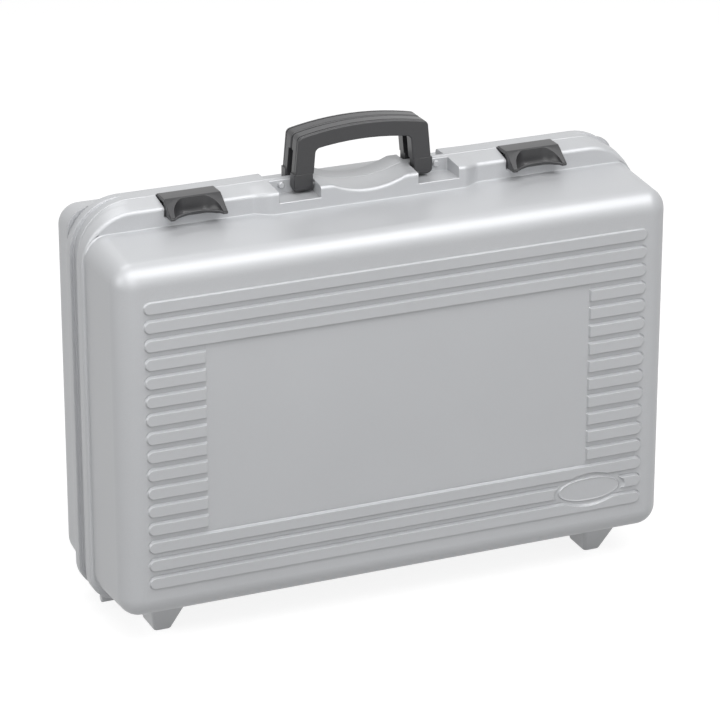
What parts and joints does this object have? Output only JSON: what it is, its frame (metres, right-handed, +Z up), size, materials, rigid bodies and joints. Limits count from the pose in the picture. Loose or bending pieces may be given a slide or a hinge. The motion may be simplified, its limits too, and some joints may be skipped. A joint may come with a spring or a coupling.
{
  "type": "hard tool case",
  "caption": "Upright hard plastic tool case: two ribbed half shells hinged at the bottom, with flip latches and a pair of fold-down carry handles.",
  "frame": {"origin": "on the floor under the middle of the closed case, as it stands on its feet", "axes": "+Z up, +X along the width, -Y towards the face with the badge oval"},
  "size_m": [0.468, 0.1484, 0.3806],
  "materials": {
    "shell_plastic": "silver grey satin moulded plastic with a fine grain",
    "dark_plastic": "charcoal satin moulded plastic",
    "pin_steel": "dull steel"
  },
  "bodies": {
    "front_case": {"front_shell": "shell_plastic", "left_hinge_pin": "pin_steel", "right_hinge_pin": "pin_steel", "front_handle_left_pin": "pin_steel", "front_handle_right_pin": "pin_steel"},
    "rear_case": {"rear_shell": "shell_plastic", "rear_handle_left_pin": "pin_steel", "rear_handle_right_pin": "pin_steel", "left_latch_pin": "pin_steel", "right_latch_pin": "pin_steel"},
    "front_handle": {"front_handle": "dark_plastic"},
    "rear_handle": {"rear_handle": "dark_plastic"},
    "left_latch": {"left_latch": "dark_plastic"},
    "right_latch": {"right_latch": "dark_plastic"}
  },
  "joints": [
    {"name": "lid_hinge", "type": "hinge", "parent": "front_case", "child": "rear_case", "pos_m": [0, 0.01475, 0.011], "axis": [-1, 0, 0], "range_deg": [0, 120]},
    {"name": "front_handle_hinge", "type": "hinge", "parent": "front_case", "child": "front_handle", "pos_m": [0, 0.0055, 0.3355], "axis": [1, 0, 0], "range_deg": [0, 90]},
    {"name": "rear_handle_hinge", "type": "hinge", "parent": "rear_case", "child": "rear_handle", "pos_m": [0, 0.024, 0.3355], "axis": [-1, 0, 0], "range_deg": [0, 90]},
    {"name": "left_latch_hinge", "type": "hinge", "parent": "rear_case", "child": "left_latch", "pos_m": [-0.143, 0.0122, 0.3384], "axis": [-1, 0, 0], "range_deg": [0, 95]},
    {"name": "right_latch_hinge", "type": "hinge", "parent": "rear_case", "child": "right_latch", "pos_m": [0.143, 0.0122, 0.3384], "axis": [-1, 0, 0], "range_deg": [0, 95]}
  ]
}
